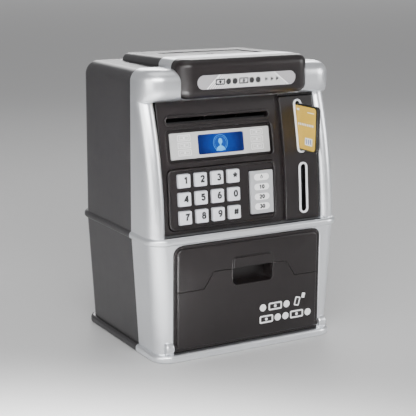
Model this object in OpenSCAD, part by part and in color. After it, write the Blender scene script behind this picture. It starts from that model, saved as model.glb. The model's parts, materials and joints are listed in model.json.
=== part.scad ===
// Toy cash-machine savings bank. Millimetres. +Z is up, the front faces -Y, and the
// origin lies on the underside, at the centre of the base.

/* [Casing] */
// Overall height, from the table to the top of the sign
total_h = 190; // [189:0.5:191]
// Half width of the upper casing
half_w = 70; // [69.5:0.5:71]
// Half width of the lower casing at the base ring
foot_half_w = 65; // [64:0.5:67]
// Half depth of the casing at the back
back_y = 52; // [51:0.5:54]
// Y of the joint between the silver front casing and the black rear casing
seam_y = -23.5; // [-25:0.5:-22]
// Corner radius of the casing in plan
corner_r = 10; // [8:1:12]
// Wall thickness of the moulded shells
wall = 2.2; // [1.8:0.2:2.4]

/* [Rings] */
// Height of the base ring
base_ring_h = 5; // [4.5:0.1:5.2]
// Underside of the belt ring
belt_z = 76.3; // [76:0.1:76.6]
// Top of the belt ring
belt_top_z = 81; // [80.5:0.1:81.2]

/* [Control panel] */
// Half width of the control panel between the silver pillars
panel_half_w = 58.3; // [57:0.1:58.4]
// Top edge of the control panel
panel_top_z = 163.8; // [162:0.1:163.8]
// Radius of the panel's curve, seen from the side
panel_curve_r = 314; // [300:1:330]

/* [Keypad] */
// Width of one key
key_w = 8.6; // [8:0.1:9.2]
// Height of one key
key_h = 8.6; // [8:0.1:9.2]
// Distance between key columns
key_pitch_x = 11.95; // [11.6:0.05:12.2]
// Distance between key rows
key_pitch_z = 11.65; // [11.3:0.05:12]
// How far a key goes in
key_travel = 1; // [0.6:0.1:1.1]

/* [Door] */
// Half width of the door opening
door_half_w = 55.1; // [54.5:0.1:55.3]
// Top of the door opening
door_top_z = 75.4; // [75:0.1:76]
// Gap around the door
door_gap = 0.3; // [0.25:0.05:0.4]
// Hinge axis, distance from the centre
hinge_y = -51; // [-51.3:0.1:-50.8]
// Hinge axis, height
hinge_z = 9.2; // [9:0.1:9.6]
// Radius of the hinge pins
hinge_pin_r = 1.5; // [1.4:0.1:1.6]
// Radial clearance of the door on its pins
running_fit = 0.06; // [0.04:0.01:0.1]

/* [Card] */
// Thickness of the bank card
card_t = 2.6; // [2.4:0.1:3.2]
// Height of the bank card
card_h = 30; // [29:0.5:30.4]
// Length of the bank card
card_l = 47.6; // [46:0.2:48]
// Y of the card's outer end
card_out_y = -62.6; // [-66:0.2:-61]

/* [Note feeder] */
// Radius of the feed roller's tyres
tyre_r = 5.6; // [5.4:0.1:5.7]
// Teeth of the roller gear
roller_teeth = 30; // [28:1:30]
// Teeth of the motor pinion
pinion_teeth = 12; // [12:1:14]
// Module of the gears
gear_module = 0.7; // [0.68:0.01:0.7]

/* [Hidden] */
KEYS = ["key_1", "key_2", "key_3", "key_star", "key_4", "key_5", "key_6", "key_0",
        "key_7", "key_8", "key_9", "key_hash"];
$fn = 48;
black = "#2b2728";
casing_black = "#3a3839";
silver = "#b9bdc0";
steel = "#c9ccd0";

casing_top_z = 183;
casing_edge_r = 9;
hood_edge_r = 5;
cornice_edge_r = 7.9;
cornice_corner_r = 12.9;
cornice_half_w = 69.3;
visor_half_w = 47.7;
visor_corner_r = 9;
visor_edge_r = 5.5;
pillar_inner_r = 4.3;
window_x = [-30, 3.7];
hood_half_w = 47.5;
hood_back_y = 38;
hood_seam_y = -18.5;
visor_back_y = -35.2;
upper_back_y = back_y - 1;
front_y = -52.9;
panel_foot_z = 81.2;
cavity_top_z = casing_top_z - wall;
cover_half_w = 30.7;
cover_y = [-17.3, 16.1];
cover_mid_y = -0.6;
battery_top_z = 188.1;
cell_z = 180.2;
visor_front_y = -48.4;
post_x = 61;
post_z = [92, 158];
post_end_y = 43;
screw_r = 1.2;
small_screw_r = 0.8;
floor_boss_x = 58;
main_board_y = 24;
main_board_screw_x = [-38, 16];
main_board_screw_z = [92, 124];
keypad_post_x = [-52, 20.5];
speaker_x = 38;
speaker_z = 112;
card_x = 45.05;
card_z = 142.2;
coin_x = 45.4;
coin_z = 102.05;
slot_mid_x = -15.15;
note_z = 151.6;
display_z = 136.1;
keypad_z = 103;
keypad_tilt = 5.5;
roller_y = -22;
roller_z = 146;
shaft_r = 1.5;
tyre_x = [-45, -19, 8];
pinch_r = 5.4;
pinch_z = roller_z + tyre_r + pinch_r + 0.2;
gear_angle = -60;
gear_dist = gear_module * (roller_teeth + pinion_teeth) / 2 + 0.1;
pinion_y = roller_y + gear_dist * cos(gear_angle);
pinion_z = roller_z + gear_dist * sin(gear_angle);
bolt_y = -35;
bolt_z = 69;
bolt_r = 1.8;
catch_end_y = -31.4;
door_lip_y = -52.4;
door_face_y = -53.9;
pull_x = 2.6;
pull_half_w = 15.1;
pull_z = [45.1, 56.2];
knuckle_x = 46;
groove_x = 0.65;
groove_route = [[51.5, 45.5], [34.45, 45.5], [27.15, 56.2]];

// Front of the silver pillars at height z: it leans back more the higher it gets.
function pillar_y(z) = -51 + pow(max(z - 76, 0), 2) / 490;
// Front of the black control panel at height z, and how far it leans back there, in degrees.
function panel_y(z) = -46.7 + pow(z - 75, 2) / (2 * panel_curve_r);
function panel_tilt(z) = atan((z - 75) / panel_curve_r);

// Points of a rectangle with round corners, anticlockwise.
function rounded_points(x0, x1, y0, y1, r, steps = 6) =
    [for (c = [[x1 - r, y1 - r, 0], [x0 + r, y1 - r, 90], [x0 + r, y0 + r, 180], [x1 - r, y0 + r, 270]])
        for (i = [0:steps]) [c[0] + r * cos(c[2] + 90 * i / steps), c[1] + r * sin(c[2] + 90 * i / steps)]];

module plate(x0, x1, y0, y1, r, z0, z1, steps = 6)
    translate([0, 0, z0]) linear_extrude(z1 - z0) polygon(rounded_points(x0, x1, y0, y1, r, steps));

// A solid through a stack of level outlines that have the same number of points.
module loft(rings) {
    n = len(rings[0]);
    polyhedron([for (ring = rings) each ring], concat(
        [[for (i = [0:n - 1]) i], [for (i = [n - 1:-1:0]) (len(rings) - 1) * n + i]],
        [for (k = [0:len(rings) - 2]) for (i = [0:n - 1]) [k * n + i, (k + 1) * n + i, (k + 1) * n + (i + 1) % n]],
        [for (k = [0:len(rings) - 2]) for (i = [0:n - 1]) [k * n + i, (k + 1) * n + (i + 1) % n, k * n + (i + 1) % n]]));
}

// One level outline of the casing at height z, moved in by d.
function casing_ring(z, half, yf, yb, d) =
    [for (p = rounded_points(-half + d, half - d, yf + d, yb - d, corner_r - min(d, corner_r - 1)))
        [p[0], p[1], z]];
function casing_rings(d) = concat(
    [casing_ring(d > 0 ? -1 : 0, foot_half_w, front_y, back_y, d),
     casing_ring(base_ring_h, foot_half_w, front_y, back_y, d),
     casing_ring(belt_z, half_w - 0.3, front_y, back_y, d)],
    [for (z = [belt_top_z:13:160]) casing_ring(z, half_w, pillar_y(z), upper_back_y, d)],
    [for (a = [0:15:90]) let (z = casing_top_z - casing_edge_r + casing_edge_r * sin(a) - d)
        casing_ring(z, half_w, pillar_y(z), upper_back_y, d + casing_edge_r * (1 - cos(a)))]);

module casing_body(d = 0) loft(casing_rings(d));

// One level outline of the raised hood on top.
function hood_ring(z, d) = [for (p = rounded_points(-hood_half_w + d, hood_half_w - d, visor_back_y - 10,
    hood_back_y - d, 6 - min(d, 5))) [p[0], p[1], z]];

module hood_body(d = 0) loft(concat([hood_ring(cavity_top_z - 1, d)],
    [for (a = [0:15:90]) hood_ring(total_h - d - hood_edge_r * (1 - sin(a)), d + hood_edge_r * (1 - cos(a)))]));

// The belt ring and the base ring, which stand proud of the casing.
module rings() {
    plate(-71.5, 71.5, -54.8, 54.8, 12, belt_z, belt_top_z);
    plate(-67.4, 67.4, -55.8, 55.8, 12, 0, base_ring_h);
}

// The whole hollow casing, before it is split into its front and rear mouldings.
module casing_shell() difference() {
    union() {
        casing_body();
        rings();
        hood_body();
    }
    casing_body(wall);
    hood_body(wall);
}

module box(x0, x1, y0, y1, z0, z1) translate([x0, y0, z0]) cube([x1 - x0, y1 - y0, z1 - z0]);

module rod_x(x0, x1, r, y, z) translate([x0, y, z]) rotate([0, 90, 0]) cylinder(h = x1 - x0, r = r);
module rod_y(y0, y1, r, x, z) translate([x, y0, z]) rotate([-90, 0, 0]) cylinder(h = y1 - y0, r = r);

// A side profile in Y and Z, carried from x0 to x1.
module along_x(x0, x1) translate([x0, 0, 0]) rotate([90, 0, 90]) linear_extrude(x1 - x0) children();

// A strip that follows the control panel's curve, from depth d0 to depth d1 behind its face.
module curved_strip(x0, x1, z0, z1, d0, d1, steps = 14) along_x(x0, x1) polygon(concat(
    [for (i = [0:steps]) let (z = z0 + (z1 - z0) * i / steps) [panel_y(z) + d0, z]],
    [for (i = [steps:-1:0]) let (z = z0 + (z1 - z0) * i / steps) [panel_y(z) + d1, z]]));

// Children are placed on the panel at height z, with -Y out of the panel and +Z up along it.
module on_panel(z) translate([0, panel_y(z), z]) rotate([-panel_tilt(z), 0, 0]) children();
module on_keypad() translate([0, -45.3, keypad_z]) rotate([-keypad_tilt, 0, 0]) children();

// A plate in the panel's own plane, with round corners, from depth y0 to depth y1.
module panel_plate(x0, x1, z0, z1, r, y0, y1) translate([0, y1, 0]) rotate([90, 0, 0])
    linear_extrude(y1 - y0) polygon(rounded_points(x0, x1, z0, z1, r));

// A bar with corners of radius rc seen from above, and every edge rounded to radius r.
module soft_bar(x0, x1, y0, y1, z0, z1, rc, r)
    loft([for (end = [[z0 + r, -90], [z1 - r, 0]]) for (a = [end[1]:15:end[1] + 90]) let (d = r * (1 - cos(a)))
        [for (p = rounded_points(x0 + d, x1 - d, y0 + d, y1 - d, rc - d, 8)) [p[0], p[1], end[0] + r * sin(a)]]]);

// The hood's share between two Y planes.
module hood_part(y0, y1) intersection() {
    difference() {
        hood_body();
        hood_body(wall);
    }
    box(-80, 80, y0, y1, casing_top_z - wall, total_h);
}

module front_casing() color(silver) difference() {
    union() {
        difference() {
            union() {
                intersection() {
                    casing_shell();
                    box(-80, 80, -80, seam_y, -1, casing_top_z + 0.1);
                }
                hood_part(visor_back_y, hood_seam_y);
                cornice();
            }
            difference() {
                box(-63, 63, -80, seam_y + 1, belt_top_z, 164);
                pillars();
            }
            door_hole();
            // The sign visor sits in a notch of the cornice.
            intersection() {
                visor_body(0.2);
                box(-80, 80, -80, visor_back_y, 150, 200);
            }
            box(-45, 45, -80, seam_y + 1, 165.4, cavity_top_z);
        }
        pillar_cheeks();
        // The ledge at the panel's foot.
        box(-61, 61, -53.5, -42.5, belt_top_z - 2.4, belt_top_z);
        for (x = [-61, door_half_w + door_gap]) hinge_lug(x, 61 - door_half_w - door_gap);
        for (x = [-post_x, post_x], z = post_z) rod_y(-26, post_end_y, 3.4, x, z);
        for (x = [-floor_boss_x, floor_boss_x]) floor_boss(x, -44);
    }
    for (x = [-post_x, post_x], z = post_z) rod_y(post_end_y - 12, post_end_y + 1, screw_r, x, z);
    for (x = [-floor_boss_x, floor_boss_x]) translate([x, -44, 2]) cylinder(h = 8, r = screw_r);
    hinge_pin_shape();
}

// The round bar above the panel, hollow behind; d moves its faces in.
module cornice_body(d) soft_bar(-cornice_half_w + d, cornice_half_w - d, -45 + d, 15, 164 + d, 184 - d,
    cornice_corner_r - d, cornice_edge_r - d);
module cornice() difference() {
    cornice_body(0);
    cornice_body(wall);
    box(-80, 80, seam_y, 40, 150, 190);
}

// Outlines of the two pillars, with their inner edges rounded.
module pillars() for (side = [0, 1]) mirror([side, 0, 0])
    loft([for (z = [belt_top_z - 2, for (z = [belt_top_z:13:160]) z, 168])
        [for (p = rounded_points(58.6, 90, pillar_y(z) - 0.05, 0, pillar_inner_r)) [p[0], p[1], z]]]);

// Inner cheeks of the pillars, from the pillar's face back to the seam.
module pillar_cheeks() for (x = [-60.8, 58.6]) intersection() {
    casing_body();
    pillars();
    box(x, x + 2.2, -60, seam_y, belt_top_z - 1, 166);
}

module hinge_lug(x, w) {
    rod_x(x, x + w, 3.7, hinge_y, hinge_z);
    box(x, x + w, hinge_y, hinge_y + 2.6, base_ring_h - 1, hinge_z + 5);
    box(x, x + w, hinge_y - 2, hinge_y + 2, base_ring_h - 1, hinge_z);
}

// A screw boss above the base plate, joined to the side wall by a rib.
module floor_boss(x, y) {
    translate([x, y, 2.7]) cylinder(h = 9, r = 3.2);
    box(min(x, sign(x) * 63.5), max(x, sign(x) * 63.5), y - 1, y + 1, 2.7, 11.7);
}

// The doorway: round top corners, square foot.
module door_hole() translate([0, -42, 0]) rotate([90, 0, 0]) linear_extrude(30) {
    polygon(rounded_points(-door_half_w, door_half_w, 20, door_top_z, 6));
    translate([-door_half_w, base_ring_h + 0.2]) square([2 * door_half_w, 40]);
}

module rear_casing() color(casing_black) difference() {
    union() {
        intersection() {
            casing_shell();
            box(-80, 80, seam_y, 80, -1, casing_top_z + 0.1);
        }
        hood_part(hood_seam_y, 60);
        for (x = [-post_x, post_x], z = post_z) rod_y(post_end_y + 0.1, upper_back_y - 1, 4.2, x, z);
        for (x = [-floor_boss_x, floor_boss_x]) floor_boss(x, 45);
        for (x = main_board_screw_x, z = main_board_screw_z) rod_y(main_board_y + 1.6, upper_back_y - 1, 2.4, x, z);
    }
    // The silver band of the hood reaches back over the seam.
    box(-hood_half_w, hood_half_w, seam_y - 1, hood_seam_y, casing_top_z - wall, casing_top_z + 1);
    // Battery opening, with a finger notch at its back edge.
    box(-cover_half_w - door_gap, cover_half_w + door_gap, cover_y[0] - door_gap, cover_y[1] + door_gap, 180, 200);
    box(-17.3, -10.3, cover_y[1], cover_y[1] + 1.5, total_h - 1, total_h + 1);
    for (x = [-post_x, post_x], z = post_z) {
        rod_y(post_end_y + 2, back_y + 10, 3, x, z);
        rod_y(post_end_y - 1, back_y, screw_r + 0.3, x, z);
    }
    for (x = [-floor_boss_x, floor_boss_x]) translate([x, 45, 2]) cylinder(h = 8, r = screw_r);
    for (x = main_board_screw_x, z = main_board_screw_z) rod_y(main_board_y - 1, main_board_y + 9, small_screw_r, x, z);
    // Speaker grille: rings of small round holes.
    for (ring = [1:3], i = [0:6 * ring - 1])
        rod_y(40, 60, 0.9, speaker_x + 3.6 * ring * cos(60 * i / ring), speaker_z + 3.6 * ring * sin(60 * i / ring));
}

module base_plate() color(casing_black) difference() {
    plate(-foot_half_w + wall + 0.2, foot_half_w - wall - 0.2, front_y + wall + 0.2, back_y - wall - 0.2,
        corner_r - wall, 0, 2.6);
    for (x = [-floor_boss_x, floor_boss_x], y = [-44, 45]) translate([x, y, -1]) {
        cylinder(h = 5, r = screw_r + 0.3);
        cylinder(h = 2.5, r = 3);
    }
}

// The floor between the mechanism above and the money below.
module money_partition() color(black) difference() {
    plate(-67.2, 67.2, -42.2, 48.2, 7, 76.4, 78.4);
    box(-53, 23, -26, 8, 70, 90);
    box(42.5, 48.3, -41, -23.8, 70, 90);
    for (x = [-58, 58]) translate([x, -30, 70]) cylinder(h = 20, r = 1.4);
}

module battery_cover() color(casing_black) difference() {
    plate(-cover_half_w, cover_half_w, cover_y[0], cover_y[1], 2, battery_top_z + 0.2, total_h);
    translate([0, cover_mid_y, 180]) cylinder(h = 20, r = screw_r + 0.3);
    translate([0, cover_mid_y, total_h - 1]) cylinder(h = 5, r = 2.6);
}

module battery_cover_screw() color(steel) translate([0, cover_mid_y, 0]) difference() {
    union() {
        translate([0, 0, total_h - 6.5]) cylinder(h = 5.5, r = screw_r);
        translate([0, 0, total_h - 1]) cylinder(h = 0.8, r = 2.4);
    }
    for (a = [0, 90]) rotate(a) translate([-1.5, -0.25, total_h - 0.7]) cube([3, 0.5, 1]);
}

// The visor's outer shape, swollen by d.
module visor_body(d) soft_bar(-visor_half_w - d, visor_half_w + d, visor_front_y - d, visor_back_y + 20 + d,
    165.6 - d, total_h + d, visor_corner_r + d, visor_edge_r + d);

module sign_visor() color(black) difference() {
    visor_body(0);
    visor_body(-wall);
    box(-60, 60, visor_back_y - 0.1, visor_back_y + 20, 150, 200);
    label_pill(36.4, 4.8, visor_front_y - 1, visor_front_y + 0.6);
}

// A pill shape on the visor's face.
module label_pill(half, r, y0, y1) translate([0, y1, 175.8]) rotate([90, 0, 0])
    linear_extrude(y1 - y0) polygon(rounded_points(-half, half, -r, r, r - 0.01));

module sign_label() color("#c9c5c9") label_pill(36, 4.4, visor_front_y + 0.1, visor_front_y + 0.6);

module pill(half_x, half_z, y0, y1) panel_plate(-half_x, half_x, -half_z, half_z, min(half_x, half_z) - 0.01, y0, y1);

module control_panel() color(black) difference() {
    union() {
        curved_strip(-panel_half_w, panel_half_w, panel_foot_z, panel_top_z, 0, 2.4);
        on_panel(display_z) panel_plate(-54.7, 25.4, -11.3, 11.3, 2, 1.2, 4.4);
    }
    on_panel(note_z) translate([slot_mid_x, 0, 0]) pill(38.05, 2.6, -5, 10);
    on_panel(display_z) {
        panel_plate(-53.5, 24.2, -10.1, 10.1, 2.5, -5, 3.2);
        panel_plate(window_x[0] + 1, window_x[1] - 1, -6, 5.6, 1, 0, 10);
    }
    on_keypad() panel_plate(-55.15, 24.45, -19.4, 19.45, 4, -6, 10);
    // Groove beside the reader panel, and the opening that it fills.
    curved_strip(28.4, 31.7, 80, 165, -2, 1.5);
    curved_strip(31.4, 57.7, 80, 162.1, -2, 5);
}

module reader_panel() color(black) difference() {
    curved_strip(31.6, 57.5, 81.6, 161.9, -1.2, 1.8);
    on_panel(card_z) translate([card_x, 0, 0]) pill(3.2, 17.85, -5, 5);
    on_panel(coin_z) translate([coin_x, 0, 0]) pill(3.45, 17.1, -5, 5);
}

module card_slot_trim() color("#eceef0") difference() {
    on_panel(card_z) translate([card_x, 0, 0]) pill(3.15, 17.8, -1.9, 1.8);
    translate([card_x, 0, card_z]) pill(1.8, 16.4, -60, 0);
}

module coin_slot_trim() color("#eceef0") on_panel(coin_z) translate([coin_x, 0, 0]) difference() {
    pill(3.4, 17.05, -1.9, 1.8);
    pill(2, 15.65, -5, 5);
}

module note_slot_bezel() color(black) on_panel(note_z) translate([slot_mid_x, 0, 0]) difference() {
    union() {
        pill(38.45, 3.5, -0.9, 0);
        pill(37.95, 2.5, -0.1, 3.4);
    }
    pill(37.55, 1.65, -5, 10);
}

module display_plate() color("#cdcdcd") on_panel(display_z) difference() {
    panel_plate(-50, 23.1, -8.4, 8.2, 0.8, 2.2, 3.2);
    panel_plate(window_x[0], window_x[1], -6.4, 6.1, 1.2, 0, 5);
}

module display_window() color("#12327a") on_panel(display_z)
    panel_plate(window_x[0] + 0.1, window_x[1] - 0.1, -6.3, 6, 1.2, 2.3, 3.1);

module display_board() color("#1d5b34") on_panel(display_z) {
    panel_plate(window_x[0] - 3, window_x[1] + 3, -9, 9, 1, 6.4, 7.8);
    panel_plate(window_x[0], window_x[1], -7.5, 7.5, 0.5, 4.5, 6.4);
}

module keypad_bezel() color(black) on_keypad() difference() {
    union() {
        panel_plate(-55, 24.3, -19.2, 19.3, 4, -1, 1.8);
        // The pocket behind the function plate, and four posts for the board.
        panel_plate(2.6, 24.1, -16.6, 15.4, 1, 1, 2.6);
        for (x = keypad_post_x, z = [-17, 17]) rod_y(1, 5.6, 1.5, x, z);
    }
    panel_plate(-53.6, 22.9, -17.8, 17.9, 2.8, -5, 0);
    panel_plate(3.6, 23, -15.8, 14.4, 1, -5, 1.4);
    for (col = [0:3], row = [0:2]) panel_plate(key_x(col) - key_w / 2 - 0.3, key_x(col) + key_w / 2 + 0.3,
        key_z(row) - key_h / 2 - 0.3, key_z(row) + key_h / 2 + 0.3, 0.9, -5, 5);
    for (x = keypad_post_x, z = [-17, 17]) rod_y(2, 10, small_screw_r, x, z);
}

function key_x(col) = -43.75 + key_pitch_x * col;
function key_z(row) = key_pitch_z * (1 - row);

module function_plate() color("#c4c5c9") on_keypad() panel_plate(5.1, 22.2, -14.7, 13.2, 0.8, -0.6, 1.4);

// One key: a cap with softly tapered sides, on a flange that keeps it in the bezel.
module key(col, row) color("#e1e3eb") on_keypad() translate([key_x(col), 0, key_z(row)]) {
    hull() {
        panel_plate(-key_w / 2, key_w / 2, -key_h / 2, key_h / 2, 0.8, -1.2, 1.9);
        panel_plate(-key_w / 2 + 0.4, key_w / 2 - 0.4, -key_h / 2 + 0.4, key_h / 2 - 0.4, 0.8, -2, -1.9);
    }
    panel_plate(-key_w / 2 - 0.8, key_w / 2 + 0.8, -key_h / 2 - 0.8, key_h / 2 + 0.8, 1, 1.9, 2.8);
}

module keypad_mat() color("#8f9296") on_keypad() {
    panel_plate(-50, -2, -18, 18, 1, 4.9, 5.5);
    for (col = [0:3], row = [0:2]) rod_y(4, 4.9, 2.6, key_x(col), key_z(row));
}

module keypad_board() color("#1d5b34") on_keypad() difference() {
    panel_plate(-54, 23.6, -18.8, 18.8, 1, 5.6, 7);
    for (x = keypad_post_x, z = [-17, 17]) rod_y(0, 10, small_screw_r + 0.2, x, z);
}

module board_screws() color(steel) {
    on_keypad() for (x = keypad_post_x, z = [-17, 17]) {
        rod_y(3, 7, small_screw_r, x, z);
        rod_y(7, 8, 1.5, x, z);
    }
    for (x = main_board_screw_x, z = main_board_screw_z) {
        rod_y(main_board_y, main_board_y + 8, small_screw_r, x, z);
        rod_y(main_board_y - 1.2, main_board_y, 1.7, x, z);
    }
}

module card_guide() color("#2b2a2b") difference() {
    box(card_x - 3.8, card_x + 3.8, -32.4, -6, card_z - 18, card_z + 18);
    box(card_x - 1.8, card_x + 1.8, -40, -7.6, card_z - 15.4, card_z + 15.4);
    rod_y(-20, 0, 1.2, card_x, card_z);
}

module card_switch() color("#26272b") {
    box(card_x - 3, card_x + 3, -5.9, 0, card_z - 5, card_z + 5);
    rod_y(-8.2, -5.9, 0.9, card_x, card_z);
}

module coin_chute() color("#2b2a2b") difference() {
    box(coin_x - 3.7, coin_x + 3.7, -41, -23, 78.5, 119.5);
    box(coin_x - 2.2, coin_x + 2.2, -45, -24.4, 70, 118);
}

// Two cheeks and four short plates that lead a note between the rollers.
module note_guide() color("#2b2a2b") difference() {
    union() {
        for (x = [-56.4, 24.6]) box(x, x + 1.8, -31.4, -6, 123, 160);
        for (y = [[-33.4, -28.8], [-15.2, -6]]) {
            box(-54.7, 24.7, y[0], y[1], 148.6, 150);
            box(-54.7, 24.7, y[0], y[1], 153.2, 154.6);
        }
    }
    rod_x(-60, 40, shaft_r + running_fit, roller_y, roller_z);
    rod_x(-60, 40, 1 + running_fit, roller_y, pinch_z);
    rod_x(20, 40, 2.2, pinion_y, pinion_z);
}

module feed_roller() color(steel) {
    rod_x(-57.4, 31, shaft_r, roller_y, roller_z);
    for (x = tyre_x) rod_x(x, x + 8, 3.6, roller_y, roller_z);
}

module roller_tyres() color("#1b1b1c") for (x = tyre_x) difference() {
    rod_x(x, x + 8, tyre_r, roller_y, roller_z);
    rod_x(x - 1, x + 9, 3.6, roller_y, roller_z);
}

module pinch_roller() color("#2b2a2b") {
    rod_x(-57.2, 27, 1, roller_y, pinch_z);
    for (x = tyre_x) rod_x(x, x + 8, pinch_r, roller_y, pinch_z);
}

// Involute function, in degrees.
function involute(a) = tan(a) * 180 / PI - a;
// Half of a tooth's angle at radius r, on a gear with n teeth.
function half_tooth(r, n) = let (rp = gear_module * n / 2, rb = rp * cos(20))
    90 / n + involute(20) - involute(acos(min(rb / r, 1))) - 0.08 / rp * 180 / PI;
// Outline of a gear that has a tooth at angle a0.
function gear_points(n, a0) = let (rp = gear_module * n / 2, radii = [for (t = [-1.15:0.5:0.85]) rp + gear_module * t])
    [for (k = [0:n - 1]) for (side = [-1, 1]) for (j = [0:4]) let (r = radii[side < 0 ? j : 4 - j],
        a = a0 + 360 * k / n + side * half_tooth(r, n)) [r * cos(a), r * sin(a)]];

module roller_gear() color("#ece7da") difference() {
    translate([0, roller_y, roller_z]) along_x(27.2, 30.2) polygon(gear_points(roller_teeth, gear_angle));
    rod_x(20, 40, shaft_r, roller_y, roller_z);
}

module motor_pinion() color(steel) {
    translate([0, pinion_y, pinion_z]) along_x(27.4, 30) polygon(gear_points(pinion_teeth, gear_angle + 180 + 180 / pinion_teeth));
    rod_x(17, 30.8, 1, pinion_y, pinion_z);
}

module feed_motor() color("#b7babd") difference() {
    union() {
        rod_x(0.6, 24.5, 7.7, pinion_y, pinion_z);
        rod_x(-1.4, 1, 2.5, pinion_y, pinion_z);
    }
    rod_x(16.9, 30, 1 + running_fit, pinion_y, pinion_z);
}

module main_board() color("#1d5b34") {
    difference() {
        translate([0, main_board_y + 1.6, 0]) rotate([90, 0, 0]) linear_extrude(1.6)
            polygon(rounded_points(-42, 20, 88, 128, 1.5));
        for (x = main_board_screw_x, z = main_board_screw_z) rod_y(0, 40, small_screw_r + 0.2, x, z);
    }
    box(-20, -8, main_board_y - 1.6, main_board_y, 104, 116);
    box(0, 8, main_board_y - 5, main_board_y, 94, 99);
    for (x = [-34, -28]) rod_y(main_board_y - 9, main_board_y, 2.5, x, 100);
}

module speaker() color("#2c2c2e") difference() {
    union() {
        rod_y(45.4, 48.7, 14, speaker_x, speaker_z);
        rod_y(40.4, 45.4, 8, speaker_x, speaker_z);
    }
    rod_y(47, 50, 12.4, speaker_x, speaker_z);
}

module battery_box() color("#1f1f21") difference() {
    union() {
        difference() {
            union() {
                box(-28.8, 28.8, cover_mid_y - 16.5, cover_mid_y + 16.5, 171.8, battery_top_z);
                box(-33, 33, -18.2, cover_mid_y + 19, 186.3, 187.6);
            }
            for (side = [-1, 1])
                box(-27.4, 27.4, cover_mid_y + side * 8.2 - 7.3, cover_mid_y + side * 8.2 + 7.3, 173, 190);
        }
        translate([0, cover_mid_y, 184.6]) cylinder(h = battery_top_z - 184.6, r = 2.1);
    }
    translate([0, cover_mid_y, 183]) cylinder(h = 10, r = screw_r);
}

module batteries() color("#8a6a35") for (side = [-1, 1]) {
    rod_x(-24.4, 24, 7.1, cover_mid_y + side * 8.2, cell_z);
    rod_x(24, 25.4, 2.6, cover_mid_y + side * 8.2, cell_z);
}

module battery_contacts() color(steel) for (side = [-1, 1]) {
    for (x = [-27.3, 26.9]) box(x, x + 0.4, cover_mid_y + side * 8.2 - 4.5, cover_mid_y + side * 8.2 + 4.5, 174, 184);
    for (i = [0:2]) translate([-26.4 + 0.75 * i, cover_mid_y + side * 8.2, cell_z]) rotate([0, 90, 0])
        rotate_extrude() translate([3.6 - 0.5 * i, 0]) circle(0.35, $fn = 16);
}

module lock_actuator() color("#3d4045") difference() {
    box(8, 34, bolt_y - 5, bolt_y + 6, bolt_z - 4.5, 76.3);
    rod_x(7, 30, bolt_r + running_fit, bolt_y, bolt_z);
}

module lock_bolt() color(steel) rod_x(6, 29, bolt_r, bolt_y, bolt_z);

module hinge_pin_shape() for (x = [-60.5, 47.5]) rod_x(x, x + 13, hinge_pin_r, hinge_y, hinge_z);
module hinge_pins() color(steel) hinge_pin_shape();

module case_screws() color(steel) {
    for (x = [-post_x, post_x], z = post_z) {
        rod_y(post_end_y - 10, post_end_y + 2, screw_r, x, z);
        rod_y(post_end_y + 2, post_end_y + 4, 2.7, x, z);
    }
    for (x = [-floor_boss_x, floor_boss_x], y = [-44, 45]) translate([x, y, 0]) {
        translate([0, 0, 0.2]) cylinder(h = 1.3, r = 2.7);
        translate([0, 0, 1.5]) cylinder(h = 7.5, r = screw_r);
    }
}

module door_sheet(half, z0, z1, r, y0, y1) panel_plate(-half, half, z0, z1, r, y0, y1);

module door() color(black) difference() {
    union() {
        door_sheet(door_half_w - door_gap, 20, door_top_z - door_gap, 5.7, door_lip_y, door_lip_y + wall);
        box(-door_half_w + door_gap, door_half_w - door_gap, door_lip_y, door_lip_y + wall, 5.8, 30);
        hull() {
            door_sheet(door_half_w - 2, 7.3, door_top_z - 2, 4.6, door_lip_y - 0.1, door_lip_y + 0.1);
            door_sheet(door_half_w - 3, 8.3, door_top_z - 3, 3.8, door_face_y, door_face_y + 0.1);
        }
        // The flap over the finger pull.
        panel_plate(pull_x - pull_half_w, pull_x + pull_half_w, pull_z[1], 63.2, 3, door_face_y - 0.8, door_lip_y);
        box(pull_x - pull_half_w, pull_x + pull_half_w, door_face_y - 0.8, door_lip_y, pull_z[1], 60);
        // Hinge knuckles at the two lower corners.
        for (x = [-door_half_w + door_gap, knuckle_x]) {
            rod_x(x, x + door_half_w - door_gap - knuckle_x, 2.8, hinge_y, hinge_z);
            box(x, x + door_half_w - door_gap - knuckle_x, hinge_y - 1, hinge_y + 2.8, hinge_z, hinge_z + 6);
        }
    }
    intersection() {
        pull_hollow();
        box(-30, 30, -70, -40, 0, pull_z[1]);
    }
    for (x = [-door_half_w, knuckle_x + 0.8])
        rod_x(x - 1, x + door_half_w - knuckle_x + 0.2, hinge_pin_r + running_fit, hinge_y, hinge_z);
    for (side = [-1, 1]) let (route = concat(
        [for (p = groove_route) [groove_x + side * p[0], p[1]]], [[pull_x + side * pull_half_w, pull_z[1]]]))
        for (i = [0:2]) door_groove(route[i], route[i + 1]);
}

// A thin groove in the door's face between two points of its route.
module door_groove(p, q) translate([p[0], door_face_y - 1, p[1]]) rotate([0, -atan2(q[1] - p[1], q[0] - p[0]), 0])
    translate([-0.2, 0, -0.2]) cube([norm(q - p) + 0.2, 1.5, 0.4]);

// The hollow that the fingers reach into.
module pull_hollow() panel_plate(pull_x - pull_half_w, pull_x + pull_half_w, pull_z[0], 63.1, 3, -60, -43.1);

// An arm behind the door with a square eye for the lock bolt.
module door_catch() color(black) difference() {
    box(-5, 5, door_lip_y + wall + 0.1, catch_end_y, 65.8, 72);
    box(-6, 6, bolt_y - 2.4, bolt_y + 2.3, bolt_z - 2.2, bolt_z + 2.2);
}

module handle_cup() color(black) difference() {
    box(pull_x - pull_half_w - 1.5, pull_x + pull_half_w + 1.5, door_lip_y + wall + 0.1, -41.6, 43.6, 64.6);
    pull_hollow();
}

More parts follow.
